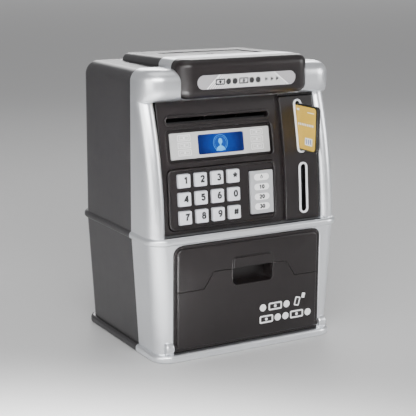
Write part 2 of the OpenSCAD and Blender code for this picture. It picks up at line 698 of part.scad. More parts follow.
// Two rows of plain signs in relief: banknotes, coins and a pair of tilted cards.
badge_notes = [[20.3, 26.3], [13.5, 18.2], [37.4, 18.2]];
badge_coins = [[10.7, 26.3], [29.2, 26.3], [22.4, 18.2], [28.5, 18.2], [46.3, 18.2]];
module door_badge() color("white") difference() {
    union() {
        for (c = badge_notes) badge_plate(c, 5.2, 2.6, 1);
        for (c = badge_coins) badge_coin(c, 2.4);
        translate([37.6, 0, 27]) rotate([0, 15, 0]) badge_plate([0, 0], 2, 3.1, 0.8);
        translate([42.4, 0, 30.4]) rotate([0, 15, 0]) badge_plate([0, 0], 1.2, 1.8, 0.5);
    }
    for (c = badge_notes) difference() {
        badge_plate(c, 4.2, 1.6, 0.5, 1);
        badge_coin(c, 1);
    }
    translate([37.6, 0, 27]) rotate([0, 15, 0]) badge_plate([0, 0], 1.2, 2.2, 0.4, 1);
}
module badge_plate(c, half_x, half_z, r, reach = 0)
    panel_plate(c[0] - half_x, c[0] + half_x, c[1] - half_z, c[1] + half_z, r, door_face_y - 0.15 - reach, door_face_y + reach);
module badge_coin(c, r) rod_y(door_face_y - 0.15, door_face_y, r, c[0], c[1]);

module bank_card() color(black) along_x(card_x - card_t / 2 + 0.1, card_x + card_t / 2 - 0.1)
    polygon(rounded_points(card_out_y, card_out_y + card_l, card_z - card_h / 2, card_z + card_h / 2, 3));

module card_label() color("#deb950") along_x(card_x - card_t / 2 - 0.05, card_x - card_t / 2 + 0.1)
    polygon(rounded_points(card_out_y + 1.7, card_out_y + card_l - 2, card_z - card_h / 2 + 1, card_z + card_h / 2 - 1, 2.2));

front_casing();
rear_casing();
base_plate();
money_partition();
battery_cover();
battery_cover_screw();
sign_visor();
sign_label();
control_panel();
reader_panel();
note_slot_bezel();
display_plate();
display_window();
display_board();
keypad_bezel();
function_plate();
keypad_mat();
keypad_board();
card_slot_trim();
coin_slot_trim();
card_guide();
card_switch();
coin_chute();
note_guide();
feed_roller();
roller_tyres();
roller_gear();
pinch_roller();
feed_motor();
motor_pinion();
main_board();
speaker();
battery_box();
batteries();
battery_contacts();
lock_actuator();
lock_bolt();
hinge_pins();
case_screws();
board_screws();
door();
door_catch();
handle_cup();
door_badge();
bank_card();
card_label();
for (i = [0:11]) key(i % 4, floor(i / 4));
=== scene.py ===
import json
import math

import bmesh
import bpy
from mathutils import Matrix, Vector


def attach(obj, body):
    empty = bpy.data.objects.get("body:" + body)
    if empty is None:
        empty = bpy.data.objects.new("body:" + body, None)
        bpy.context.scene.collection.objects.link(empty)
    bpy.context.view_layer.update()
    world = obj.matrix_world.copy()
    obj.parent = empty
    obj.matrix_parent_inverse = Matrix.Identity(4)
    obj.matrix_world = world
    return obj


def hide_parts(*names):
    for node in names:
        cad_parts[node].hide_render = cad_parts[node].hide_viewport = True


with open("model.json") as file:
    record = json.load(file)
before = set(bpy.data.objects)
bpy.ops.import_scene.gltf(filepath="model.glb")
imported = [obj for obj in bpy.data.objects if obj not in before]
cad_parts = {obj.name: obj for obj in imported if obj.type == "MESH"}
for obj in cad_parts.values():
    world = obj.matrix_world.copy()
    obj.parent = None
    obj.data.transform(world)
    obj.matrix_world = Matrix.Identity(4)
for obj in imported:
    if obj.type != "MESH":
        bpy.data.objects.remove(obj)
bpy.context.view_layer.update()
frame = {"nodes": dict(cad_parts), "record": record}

MM = 0.001
KEYS = [["key_1", "key_2", "key_3", "key_star"],
        ["key_4", "key_5", "key_6", "key_0"],
        ["key_7", "key_8", "key_9", "key_hash"]]



def add_object(name, data):
    obj = bpy.data.objects.new(name, data)
    bpy.context.scene.collection.objects.link(obj)
    return obj


# ---------------------------------------------------------------- camera

CAMERA_AZIMUTH, CAMERA_ELEVATION, CAMERA_ROLL = -29.57, 12.95, 0.3
CAMERA_DISTANCE = 0.7982
CAMERA_TARGET = Vector((-0.00725, 0.0, 0.0834))
CAMERA_LENS = 102.15
CAMERA_SHIFT = (0.0215, 0.0039)


def make_camera():
    data = bpy.data.cameras.new("camera")
    data.lens = CAMERA_LENS
    data.sensor_width = 36.0
    data.shift_x, data.shift_y = CAMERA_SHIFT
    data.clip_start, data.clip_end = 0.05, 20.0
    camera = add_object("camera", data)
    azimuth, elevation = math.radians(CAMERA_AZIMUTH), math.radians(CAMERA_ELEVATION)
    back = Vector((math.sin(azimuth) * math.cos(elevation),
                   -math.cos(azimuth) * math.cos(elevation), math.sin(elevation)))
    camera.rotation_mode = "QUATERNION"
    camera.location = CAMERA_TARGET + back * CAMERA_DISTANCE
    roll = Matrix.Rotation(math.radians(CAMERA_ROLL), 4, "Z").to_quaternion()
    camera.rotation_quaternion = (-back).to_track_quat("-Z", "Y") @ roll
    bpy.context.scene.camera = camera


make_camera()

# ---------------------------------------------------------------- stage and light


def area_light(name, place, aim, size, power, spread=180):
    """A rectangular light at a place, aimed at a point; its spread is in degrees."""
    data = bpy.data.lights.new(name, "AREA")
    data.shape = "RECTANGLE"
    data.size, data.size_y = size
    data.energy = power
    data.spread = math.radians(spread)
    light = add_object(name, data)
    light.location = place
    light.rotation_mode = "QUATERNION"
    light.rotation_quaternion = (Vector(aim) - Vector(place)).to_track_quat("-Z", "Y")


def make_stage():
    mesh = bpy.data.meshes.new("floor")
    half = 14.0
    mesh.from_pydata([(-half, -half, 0), (half, -half, 0), (half, half, 0), (-half, half, 0)], [], [(0, 1, 2, 3)])
    floor = add_object("floor", mesh)
    material = bpy.data.materials.new("floor_paper")
    material.use_nodes = True
    shader = material.node_tree.nodes["Principled BSDF"]
    shader.inputs["Base Color"].default_value = (0.56, 0.56, 0.56, 1)
    shader.inputs["Roughness"].default_value = 0.7
    mesh.materials.append(material)
    world = bpy.data.worlds.new("studio")
    bpy.context.scene.world = world
    world.use_nodes = True
    world.node_tree.nodes["Background"].inputs["Color"].default_value = (0.365, 0.365, 0.37, 1)
    world.node_tree.nodes["Background"].inputs["Strength"].default_value = 1.0
    area_light("key_left", (-1.15, -0.6, 0.42), (0, 0, 0.1), (0.8, 0.8), 6.5)
    area_light("key_front", (-0.42, -0.95, 0.72), (-0.15, -0.33, 0.03), (0.95, 0.35), 12.5)
    area_light("front_pool", (-0.33, -0.40, 0.46), (-0.28, -0.33, 0.0), (0.3, 0.3), 11.5, spread=45)
    area_light("front_right", (1.15, -0.75, 0.5), (0, 0, 0.1), (0.6, 0.7), 7.0)
    area_light("top", (0.0, -0.1, 1.15), (0, 0, 0.1), (0.9, 0.7), 1.8)
    area_light("back_top", (0.9, 1.6, 0.85), (0, 0, 0.12), (1.5, 0.6), 1.2, spread=40)
    area_light("backdrop", (3.0, 5.6, 4.0), (3.4, 6.4, 0.0), (5.0, 4.0), 80.0)


make_stage()

# ---------------------------------------------------------------- materials


class Nodes:
    """A short way to wire up one material's nodes."""

    def __init__(self, name):
        self.material = bpy.data.materials.new(name)
        self.material.use_nodes = True
        self.tree = self.material.node_tree
        self.shader = self.tree.nodes["Principled BSDF"]

    def add(self, kind, operation=None):
        node = self.tree.nodes.new(kind)
        if operation:
            node.operation = operation
        return node

    def link(self, a, b):
        self.tree.links.new(a, b)

    def noise(self, scale, detail=3.0):
        position = self.add("ShaderNodeTexCoord")
        noise = self.add("ShaderNodeTexNoise")
        noise.inputs["Scale"].default_value = scale
        noise.inputs["Detail"].default_value = detail
        noise.inputs["Roughness"].default_value = 0.5
        self.link(position.outputs["Object"], noise.inputs["Vector"])
        return noise.outputs["Fac"]

    def ramp(self, value, stops):
        ramp = self.add("ShaderNodeValToRGB")
        while len(ramp.color_ramp.elements) < len(stops):
            ramp.color_ramp.elements.new(0.5)
        for element, (place, colour) in zip(ramp.color_ramp.elements, stops):
            element.position = place
            element.color = (*colour, 1)
        self.link(value, ramp.inputs["Fac"])
        return ramp.outputs["Color"]

    def map_range(self, value, low, high):
        node = self.add("ShaderNodeMapRange")
        node.inputs["To Min"].default_value = low
        node.inputs["To Max"].default_value = high
        self.link(value, node.inputs["Value"])
        return node.outputs["Result"]


def scaled(colour, factor):
    return tuple(min(1.0, c * factor) for c in colour)


def plastic(name, colour, roughness, depth=0.04, variation=0.12, coat=0.0, metallic=0.0):
    """Moulded plastic: faint mottling of the colour, a fine spark-eroded grain and uneven gloss."""
    m = Nodes(name)
    cloud = m.noise(60.0)
    m.link(m.ramp(cloud, [(0.3, scaled(colour, 1 - variation)), (0.7, scaled(colour, 1 + variation))]),
           m.shader.inputs["Base Color"])
    m.link(m.map_range(m.noise(180.0, 4.0), roughness * 0.85, roughness * 1.15), m.shader.inputs["Roughness"])
    bump = m.add("ShaderNodeBump")
    bump.inputs["Strength"].default_value = depth
    bump.inputs["Distance"].default_value = 0.0001
    m.link(m.noise(2500.0, 2.0), bump.inputs["Height"])
    m.link(bump.outputs["Normal"], m.shader.inputs["Normal"])
    m.shader.inputs["Metallic"].default_value = metallic
    m.shader.inputs["Coat Weight"].default_value = coat
    m.shader.inputs["Coat Roughness"].default_value = 0.08
    return m.material


MATERIALS = {
    "silver_plastic": plastic("silver_paint", (0.93, 0.95, 0.98), 0.32, depth=0.0015, metallic=0.94, coat=0.25,
                              variation=0.02),
    "black_casing_plastic": plastic("black_casing", (0.024, 0.0225, 0.024), 0.33, depth=0.012, coat=0.1),
    "black_panel_plastic": plastic("black_panel", (0.0100, 0.0074, 0.0077), 0.31, depth=0.003),
    "silver_print": plastic("silver_print", (0.43, 0.435, 0.45), 0.4, depth=0.01, variation=0.04),
    "sign_film": plastic("sign_film", (0.40, 0.385, 0.40), 0.38, depth=0.01, variation=0.05),
    "display_film": plastic("display_film", (0.56, 0.56, 0.555), 0.4, depth=0.01, variation=0.03),
    "faint_ink": plastic("faint_ink", (0.97, 0.97, 0.97), 0.4, depth=0.01, variation=0.02),
    "white_trim": plastic("white_trim", (0.86, 0.87, 0.89), 0.3, depth=0.01, variation=0.02),
    "key_plastic": plastic("key_plastic", (0.78, 0.79, 0.84), 0.35, depth=0.02, variation=0.02),
    "white_ink": plastic("white_ink", (0.95, 0.95, 0.95), 0.5, variation=0.03),
    "black_ink": plastic("black_ink", (0.012, 0.012, 0.013), 0.5, variation=0.1),
    "card_black": plastic("card_black", (0.010, 0.009, 0.009), 0.35),
    "card_gold": plastic("card_gold", (0.74, 0.47, 0.06), 0.35, variation=0.05),
    "card_blue": plastic("card_blue", (0.02, 0.06, 0.30), 0.4, variation=0.05),
    "mechanism_plastic": plastic("mechanism_plastic", (0.62, 0.6, 0.54), 0.45),
    "black_inner_plastic": plastic("black_inner", (0.02, 0.02, 0.021), 0.5),
    "rubber_black": plastic("rubber_black", (0.015, 0.015, 0.015), 0.7),
    "rubber_grey": plastic("rubber_grey", (0.25, 0.25, 0.26), 0.7),
    "board_green": plastic("board_green", (0.02, 0.11, 0.05), 0.35),
    "steel": plastic("steel", (0.6, 0.61, 0.63), 0.28, depth=0.005, metallic=1.0, variation=0.05),
    "cell_jacket": plastic("cell_jacket", (0.35, 0.2, 0.05), 0.3, metallic=0.6),
}


def screen_material(name, stops, glow):
    """A lit screen: its colour fades outward from the middle of the display."""
    m = Nodes(name)
    spot = m.add("ShaderNodeTexCoord")
    shift = m.add("ShaderNodeVectorMath", operation="SUBTRACT")
    shift.inputs[1].default_value = (-0.0134, -0.0408, 0.1362)
    m.link(spot.outputs["Object"], shift.inputs[0])
    length = m.add("ShaderNodeVectorMath", operation="LENGTH")
    m.link(shift.outputs["Vector"], length.inputs[0])
    reach = m.add("ShaderNodeMapRange")
    reach.inputs["From Max"].default_value = 0.017
    m.link(length.outputs["Value"], reach.inputs["Value"])
    wave = m.add("ShaderNodeMath", operation="MULTIPLY_ADD")
    m.link(m.noise(420.0, 4.0), wave.inputs[0])
    wave.inputs[1].default_value = 0.28
    m.link(reach.outputs["Result"], wave.inputs[2])
    colour = m.ramp(wave.outputs["Value"], stops)
    m.link(colour, m.shader.inputs["Base Color"])
    m.link(colour, m.shader.inputs["Emission Color"])
    m.shader.inputs["Emission Strength"].default_value = glow
    m.shader.inputs["Roughness"].default_value = 0.25
    m.shader.inputs["Specular IOR Level"].default_value = 0.2
    return m.material


BLUE_FADE = [(0.1, (0.008, 0.08, 0.38)), (0.45, (0.003, 0.026, 0.18)),
             (0.8, (0.003, 0.014, 0.11)), (1.0, (0.002, 0.008, 0.07))]
RING_FADE = [(0.3, (0.03, 0.26, 0.66)), (0.9, (0.02, 0.14, 0.48))]
FIGURE_FADE = [(0.15, (0.09, 0.46, 0.80)), (0.7, (0.07, 0.25, 0.6))]
MATERIALS["screen"] = screen_material("blue_screen", BLUE_FADE, 0.3)
MATERIALS["screen_ring"] = screen_material("screen_ring", RING_FADE, 0.3)
MATERIALS["screen_figure"] = screen_material("screen_figure", FIGURE_FADE, 0.35)
SLOT_OF = {entry["node"]: entry["material_slot"] for entry in frame["record"]["subparts"]}


def dress_cad_nodes():
    """Gives every CAD node the material of its slot."""
    for name, node in frame["nodes"].items():
        node.data.materials.clear()
        node.data.materials.append(MATERIALS[SLOT_OF[name]])
        for face in node.data.polygons:
            face.use_smooth = True


dress_cad_nodes()


# ---------------------------------------------------------------- mesh tools (millimetres)


def outline(x0, x1, y0, y1, r, steps=8, foot=None):
    """Points of a rectangle with round corners, anticlockwise; the two lower ones may have their own radius."""
    r = max(r, 0.02)
    low = r if foot is None else max(foot, 0.02)
    points = []
    for cx, cy, c, start in ((x1 - r, y1 - r, r, 0), (x0 + r, y1 - r, r, 90),
                             (x0 + low, y0 + low, low, 180), (x1 - low, y0 + low, low, 270)):
        for i in range(steps + 1):
            a = math.radians(start + 90 * i / steps)
            points.append((cx + c * math.cos(a), cy + c * math.sin(a)))
    return points


def inset(rect, d, steps=8):
    """The outline of (x0, x1, z0, z1, r) or (x0, x1, z0, z1, r, foot), moved in by d."""
    x0, x1, z0, z1, r = rect[:5]
    foot = rect[5] - d if len(rect) == 6 else None
    return outline(x0 + d, x1 - d, z0 + d, z1 - d, r - d, steps, foot)


def u_path(half, y_open, y_end, r, steps=12):
    """From (-half, y_open) round the closed end at y_end to (half, y_open), with round corners."""
    r = max(r, 0.02)
    s = 1 if y_end > y_open else -1
    left = [(-half, y_open)]
    for i in range(steps + 1):
        a = math.radians(90 * i / steps)
        left.append((-half + r - r * math.cos(a), y_end - s * r * (1 - math.sin(a))))
    return left + [(-x, y) for x, y in reversed(left)]


def arc(cx, cy, rx, ry, start, end, steps=8):
    """Points on an ellipse between two angles in degrees."""
    angles = [math.radians(start + (end - start) * i / steps) for i in range(steps + 1)]
    return [(cx + rx * math.cos(a), cy + ry * math.sin(a)) for a in angles]


def rounding(r, steps=5):
    """(height, inset) pairs of a quarter round, from its foot to its top."""
    return [(r * math.sin(math.radians(90 * i / steps)), r * (1 - math.cos(math.radians(90 * i / steps))))
            for i in range(steps + 1)]


def mark_edges(bm, sharp):
    """Shades a mesh smooth, except over edges steeper than sharp degrees."""
    for face in bm.faces:
        face.smooth = True
    for edge in bm.edges:
        edge.smooth = len(edge.link_faces) == 2 and edge.calc_face_angle(0.0) < math.radians(sharp)


class Shape:
    """Collects closed skins; piece() makes an object of them."""

    def __init__(self):
        self.bm = bmesh.new()

    def sides(self, rings):
        """Faces between rings of points that have as many points each; gives back the rings' vertices."""
        rings = [[self.bm.verts.new(p) for p in ring] for ring in rings]
        count = len(rings[0])
        for low, high in zip(rings, rings[1:]):
            for i in range(count):
                self.bm.faces.new((low[i], low[(i + 1) % count], high[(i + 1) % count], high[i]))
        return rings

    def skin(self, rings):
        """A closed skin through rings of points."""
        rings = self.sides(rings)
        self.bm.faces.new(reversed(rings[0]))
        self.bm.faces.new(rings[-1])
        return self

    def levels(self, rings):
        """A skin through (z, plan outline) pairs."""
        return self.skin([[(x, y, z) for x, y in points] for z, points in rings])

    def slab(self, rect, steps, lean=8):
        """A skin facing -Y through rounded rectangles in X and Z; steps are (y, inset) pairs."""
        return self.skin([[(x, y, z) for x, z in inset(rect, d, lean)] for y, d in steps])

    def sheet(self, outer, holes, front, back, bevel=0.4, hole_bevel=None):
        """A plate facing -Y with holes; its front edges and the holes' are rounded."""
        ends = ([], [])
        for k, rect in enumerate([outer] + list(holes)):
            b = bevel if k == 0 or hole_bevel is None else hole_bevel
            steps = [(back, 0.0)] + [(front + b - h, d if k == 0 else -d) for h, d in rounding(b)]
            rings = self.sides([[(x, y, z) for x, z in inset(rect, d)] for y, d in steps])
            for end, ring in zip(ends, (rings[0], rings[-1])):
                end += [self.bm.edges.get(pair) for pair in zip(ring, ring[1:] + ring[:1])]
        for end in ends:
            bmesh.ops.triangle_fill(self.bm, use_beauty=True, edges=end)
        return self

    def prism(self, points, low, high, axis="y"):
        """An outline carried along an axis: points are (x, z) for y, (y, z) for x and (x, y) for z."""
        turn = {"y": lambda p, h: (p[0], h, p[1]), "x": lambda p, h: (h, p[0], p[1]),
                "z": lambda p, h: (p[0], p[1], h)}[axis]
        return self.skin([[turn(p, h) for p in points] for h in (low, high)])

    def rod(self, axis, low, high, r, a, b, soft=0.0, count=28):
        """A round bar along an axis, centred on (a, b) in the other two, with rounded ends."""
        turn = {"y": lambda u, v, h: (u, h, v), "x": lambda u, v, h: (h, u, v),
                "z": lambda u, v, h: (u, v, h)}[axis]
        edge = rounding(soft, 3) if soft else [(0.0, 0.0)]
        stations = [(low + soft - h, d) for h, d in reversed(edge)] + [(high - soft + h, d) for h, d in edge]
        return self.skin([[turn(a + (r - d) * math.cos(2 * math.pi * i / count),
                                b + (r - d) * math.sin(2 * math.pi * i / count), h) for i in range(count)]
                          for h, d in stations])

    def cut_levels(self, low, high):
        """Adds an edge loop every 2.5 in height, so that the shape can be bent."""
        z = low
        while z < high:
            bmesh.ops.bisect_plane(self.bm, geom=self.bm.verts[:] + self.bm.edges[:] + self.bm.faces[:],
                                   plane_co=(0, 0, z), plane_no=(0, 0, 1))
            z += 2.5
        return self

    def bend_to_panel(self):
        """Moves every point back by the control panel's curve."""
        for v in self.bm.verts:
            v.co.y += panel_y(v.co.z)
        return self

    def move(self, matrix):
        bmesh.ops.transform(self.bm, matrix=matrix, verts=self.bm.verts)
        return self

    def mesh(self, name, sharp=32):
        bmesh.ops.recalc_face_normals(self.bm, faces=self.bm.faces)
        bmesh.ops.scale(self.bm, vec=(MM, MM, MM), verts=self.bm.verts)
        mark_edges(self.bm, sharp)
        mesh = bpy.data.meshes.new(name)
        self.bm.to_mesh(mesh)
        self.bm.free()
        return mesh


def soft_modifier(obj, soft, steps):
    change = obj.modifiers.new("soft", "BEVEL")
    change.width, change.segments = soft * MM, steps
    change.limit_method, change.angle_limit = "ANGLE", math.radians(40)
    change.harden_normals = True


def cut_out(obj, shape, sharp):
    """Cuts a shape out of an object for good."""
    tool = add_object("tool", shape.mesh("tool"))
    change = obj.modifiers.new("cut", "BOOLEAN")
    change.operation, change.object, change.solver = "DIFFERENCE", tool, "EXACT"
    apply_changes(obj)
    bpy.data.objects.remove(tool, do_unlink=True)
    bm = bmesh.new()
    bm.from_mesh(obj.data)
    mark_edges(bm, sharp)
    bm.to_mesh(obj.data)
    bm.free()


def piece(shape, name, slot, body="casing", stands_for=(), cuts=(), soft=0.0, soft_steps=3, material=None,
          sharp=32):
    """Makes an object of a shape, cuts other shapes out of it and softens the edges left."""
    obj = add_object(name, shape.mesh(name, sharp))
    obj.data.materials.append(MATERIALS[material or slot])
    for cut in cuts:
        cut_out(obj, cut, sharp)
    if soft:
        soft_modifier(obj, soft, soft_steps)
    else:
        obj.modifiers.new("normals", "WEIGHTED_NORMAL").keep_sharp = True
    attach(obj, body)
    if stands_for:
        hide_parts(*stands_for)


def apply_changes(obj):
    """Keeps the result of an object's modifiers as its mesh."""
    graph = bpy.context.evaluated_depsgraph_get()
    mesh = bpy.data.meshes.new_from_object(obj.evaluated_get(graph))
    old = obj.data
    obj.modifiers.clear()
    obj.data = mesh
    bpy.data.meshes.remove(old)


def stroke_arc(x, z, rx, rz, start, stop):
    """Part of an ellipse in a figure, between two angles in degrees."""
    return arc(x, z, rx, rz, start, stop, 10)


FIGURES = {
    "0": [stroke_arc(0, 0, 1.0, 1.65, 92, 272), stroke_arc(0, 0, 1.0, 1.65, -88, 92)],
    "1": [[(-0.85, 0.95), (0.1, 1.35), (0.3, 2.0)], [(0.3, 2.0), (0.3, -2.0)]],
    "2": [stroke_arc(0, 0.75, 0.95, 0.9, 175, -35) + [(-0.95, -1.65)], [(-1.2, -1.65), (1.3, -1.65)]],
    "3": [stroke_arc(0, 0.85, 0.85, 0.8, 165, -90), stroke_arc(0, -0.8, 1.0, 0.85, 90, -165)],
    "4": [[(0.5, 2.0), (0.5, -2.0)], [(0.5, 1.75), (-1.15, -0.85), (1.3, -0.85)]],
    "5": [[(1.1, 1.65), (-0.7, 1.65), (-0.85, 0.1)], stroke_arc(0, -0.6, 1.0, 1.05, 140, -160)],
    "6": [stroke_arc(0, -0.7, 0.95, 0.95, 92, 272), stroke_arc(0, -0.7, 0.95, 0.95, -88, 92),
          stroke_arc(0.35, -0.7, 1.3, 2.35, 180, 75)],
    "7": [[(-1.2, 1.65), (1.1, 1.65), (-0.1, -0.3), (-0.3, -2.0)]],
    "8": [stroke_arc(0, 0.85, 0.8, 0.8, 92, 272), stroke_arc(0, 0.85, 0.8, 0.8, -88, 92),
          stroke_arc(0, -0.8, 1.0, 0.87, 92, 272), stroke_arc(0, -0.8, 1.0, 0.87, -88, 92)],
    "9": [stroke_arc(0, 0.7, 0.95, 0.95, 92, 272), stroke_arc(0, 0.7, 0.95, 0.95, -88, 92),
          stroke_arc(-0.35, 0.7, 1.3, 2.35, 0, -105)],
    "*": [[(0, 0.3), (1.5 * math.cos(math.radians(a)), 0.3 + 1.5 * math.sin(math.radians(a)))]
          for a in (90, 18, 162, 234, 306)],
    "#": [[(-1.0, -1.6), (-0.4, 1.6)], [(0.4, -1.6), (1.0, 1.6)],
          [(-1.5, -0.6), (1.4, -0.6)], [(-1.4, 0.6), (1.5, 0.6)]],
}


def lettering(text, size, width):
    """Bold figures in crossing strokes, each a little further out than the last."""
    shape = Shape()
    for i, figure in enumerate(text):
        for k, line in enumerate(FIGURES[figure]):
            points = [((x + 3.3 * (i - (len(text) - 1) / 2)) * size / 4, z * size / 4) for x, z in line]
            shape.prism(ribbon(points, width * size / 4), -0.04 - 0.004 * k, 0.04)
    return shape


def ribbon(points, width):
    """The outline of a line with mitred bends."""
    sides = ([], [])
    for i, p in enumerate(points):
        before = Vector(points[max(i - 1, 0)])
        after = Vector(points[min(i + 1, len(points) - 1)])
        here = Vector(p)
        a = (here - before).normalized() if i else (after - here).normalized()
        b = (after - here).normalized() if i < len(points) - 1 else a
        normal = Vector((-(a + b).y, (a + b).x)).normalized()
        reach = width / 2 / max(normal.dot(Vector((-a.y, a.x))), 0.3)
        sides[0].append(tuple(here + normal * reach))
        sides[1].append(tuple(here - normal * reach))
    return sides[0] + sides[1][::-1]


def place(x=0.0, y=0.0, z=0.0):
    return Matrix.Translation((x, y, z))


PANEL_FOOT_Y, PANEL_FOOT_Z, PANEL_RADIUS = -46.7, 75, 314


def panel_y(z):
    """How far back the curved control panel lies at a height."""
    return PANEL_FOOT_Y + (z - PANEL_FOOT_Z) ** 2 / (2 * PANEL_RADIUS)


def on_panel(z):
    """The place at a height on the control panel, tilted with it."""
    return place(0, panel_y(z), z) @ Matrix.Rotation(-math.atan((z - PANEL_FOOT_Z) / PANEL_RADIUS), 4, "X")


ON_KEYPAD = place(0, -45.3, 103) @ Matrix.Rotation(math.radians(-5.5), 4, "X")


def pillar_y(z):
    """How far back the front of the two pillars lies at a height."""
    return -51 + max(z - 76, 0) ** 2 / 490


# ---------------------------------------------------------------- silver front casing

SEAM = -23.5
WALL = 2.2
CASING_HALF = 70
CASING_FRONT = -52.9
OPENING_HALF, OPENING_CORNER, OPENING_TOP = 49.1, 6, 75.4
BELT_LOW, BELT_HIGH, BELT_HALF = 76.3, 81, 71.5
BASE_TOP, BASE_HALF = 5, 67.4
BEAD_CORNER = 12
HOOD_HALF, HOOD_FRONT = 47.5, -18.5
VISOR_BACK = -35.2
COVER_MID = -0.6


def half_width(z):
    """Half width of the casing below the belt."""
    return 65 + 4.7 * min(max((z - 5) / 71.3, 0), 1)


def mirrored(points, side):
    return points if side > 0 else [(-x, y) for x, y in reversed(points)]


def c_ring(half, y_end, r, thick, low, high, foot, top):
    """A bead round the front or the back of the casing: outer corners r, edges rounded by foot and top."""
    inner = u_path(half - thick, SEAM, y_end - math.copysign(thick, y_end), r - thick)
    inner.reverse()
    steps = [(low + foot - h, d) for h, d in reversed(rounding(foot))] + \
            [(high - top + h, d) for h, d in rounding(top)]
    return [(z, u_path(half - d, SEAM, y_end - math.copysign(d, y_end), r - d) + inner) for z, d in steps]


def front_posts():
    """The two lower columns, which widen into the corners of the door opening, and the bar over the door."""
    shape = Shape()
    for side in (1, -1):
        rings = []
        for z in (4, 20, 36, 52, 69.4, 71, 72.5, 73.6, 74.5, 75.1, 75.4, 77.5):
            half = half_width(z)
            rise = max(z - OPENING_TOP + OPENING_CORNER, 0)
            edge = OPENING_HALF + math.sqrt(max(OPENING_CORNER ** 2 - rise ** 2, 0))
            points = ([(edge, -50.7)] + arc(edge + 0.8, -52.1, 0.8, 0.8, 180, 270, 4)
                      + arc(half - 10, -42.9, 10, 10, 270, 360, 16) + [(half, SEAM), (half - WALL, SEAM)]
                      + arc(half - 10, -42.9, 10 - WALL, 10 - WALL, 360, 270, 8))
            rings.append((z, mirrored(points, side)))
        shape.levels(rings)
    bar = [(-50.7, OPENING_TOP), (CASING_FRONT + 0.4, OPENING_TOP), (CASING_FRONT, OPENING_TOP + 0.4),
           (CASING_FRONT, 77.5), (-50.7, 77.5)]
    return shape.prism(bar, -49.3, 49.3, "x")


def pillars():
    """The two upper columns beside the control panel, curved back with it."""
    shape = Shape()
    for side in (1, -1):
        rings = []
        for k in range(36):
            z = 80.5 + 2.5 * k
            front = pillar_y(z) + 0.2
            points = ([(58.6, SEAM)] + arc(62.9, front + 4.3, 4.3, 4.3, 180, 270, 10)
                      + arc(62.9, front + 8.8, 7.1, 8.8, 270, 360, 18)[1:] + [(CASING_HALF, SEAM)])
            rings.append((z, mirrored(points, side)))
        shape.levels(rings)
    return shape


def soft_levels(half, y_open, y_end, r, low, high, edge, steps=8, straight_foot=False):
    """A block with its front corners and its upper and lower edges rounded; its ends may go straight down."""
    levels = [(low + edge - h, d, 0 if straight_foot else d) for h, d in reversed(rounding(edge, steps))] + \
             [(high - edge + h, d, d) for h, d in rounding(edge, steps)]
    return [(z, u_path(half - side, y_open, y_end + d, r - d, 16)) for z, d, side in levels]


def hinge_lugs():
    shape = Shape()
    for x0, x1 in ((-61.2, -55.4), (55.4, 61.2)):
        shape.rod("x", x0, x1, 4.0, -51.5, 9.3, 1.3)
        shape.prism([(-52.6, 4), (-48.5, 4), (-48.5, 13.5), (-51, 13.5), (-52.6, 10)], x0 + 0.4, x1 - 0.4, "x")
    return shape


def make_front_casing():
    mine = dict(slot="silver_plastic", stands_for=["front_casing"])
    piece(front_posts(), "front_posts", **mine)
    piece(pillars(), "front_pillars", **mine)
    piece(Shape().levels(c_ring(BASE_HALF, -55.8, BEAD_CORNER, 5, 0, BASE_TOP, 1.5, 2.1)), "base_ring_front",
          **mine)
    piece(Shape().levels(c_ring(BELT_HALF, -54.8, BEAD_CORNER, 4.5, BELT_LOW, BELT_HIGH, 1.5, 2.2)), "belt_front",
          **mine)
    ledge = [(-53.4, 78.7), (-42.5, 78.7), (-42.5, BELT_HIGH), (-53.4, BELT_HIGH)]
    piece(Shape().prism(ledge, -61, 61, "x"), "panel_ledge", **mine)
    visor_recess = Shape().levels(soft_levels(47.9, VISOR_BACK, -48.6, 9.2, 165.4, 190.2, 5.7))
    piece(Shape().levels(soft_levels(69.95, SEAM, -45, 15, 164, 184, 7.9, 8, True)), "cornice", soft=0.3,
          sharp=30, cuts=[visor_recess], **mine)
    band = Shape().prism(outline(-HOOD_HALF, HOOD_HALF, 181, 190, 5, 8, 0.1), VISOR_BACK - 0.1, HOOD_FRONT)
    piece(slope(band), "hood_band", **mine)
    piece(hinge_lugs(), "hinge_lugs", **mine)


# ---------------------------------------------------------------- black rear casing


SCREW_WELLS = [(x, z) for x in (-61, 61) for z in (92, 158)]
SPEAKER = (38, 112)


def rear_walls():
    rings = []
    for z in (4, 30, 55, 77.5):
        half = half_width(z)
        inner = u_path(half - WALL, SEAM, 52 - WALL, 10 - WALL)
        rings.append((z, u_path(half, SEAM, 52, 10) + inner[::-1]))
    return Shape().levels(rings)


def rear_top():
    """The upper rear moulding as a block, and the hollow in it."""
    steps = [(77.5, 0)] + [(174 + h, d) for h, d in rounding(9, 9)]
    hollow = Shape().levels([(z, u_path(CASING_HALF - WALL - d, SEAM - 1, 48.8 - d, 7.8))
                             for z, d in ((60, 0), (174, 0), (180, 4))])
    return Shape().levels([(z, u_path(CASING_HALF - d, SEAM, 51 - d, 10 - d)) for z, d in steps]), hollow


def battery_opening():
    """The opening for the battery cover, with a finger notch at its back edge."""
    points = outline(-31, 31, -17.6, 16.4, 2.2)
    notch = [(-10.3, 16.4), (-10.5, 17.4), (-10.9, 17.7), (-16.7, 17.7), (-17.1, 17.4), (-17.3, 16.4)]
    return points[:9] + notch + points[9:]


def back_holes():
    """Four screw wells and the speaker grille's holes."""
    shape = Shape()
    for x, z in SCREW_WELLS:
        shape.rod("y", 45, 60, 3, x, z)
    for ring in (1, 2, 3):
        for i in range(6 * ring):
            a = math.radians(60 * i / ring)
            x, z = SPEAKER[0] + 3.6 * ring * math.cos(a), SPEAKER[1] + 3.6 * ring * math.sin(a)
            shape.rod("y", 45, 60, 0.9, x, z, count=14)
    return shape


def sloped(z, y):
    """The hood's top falls slightly towards the back."""
    return z - 0.03 * (y - VISOR_BACK)


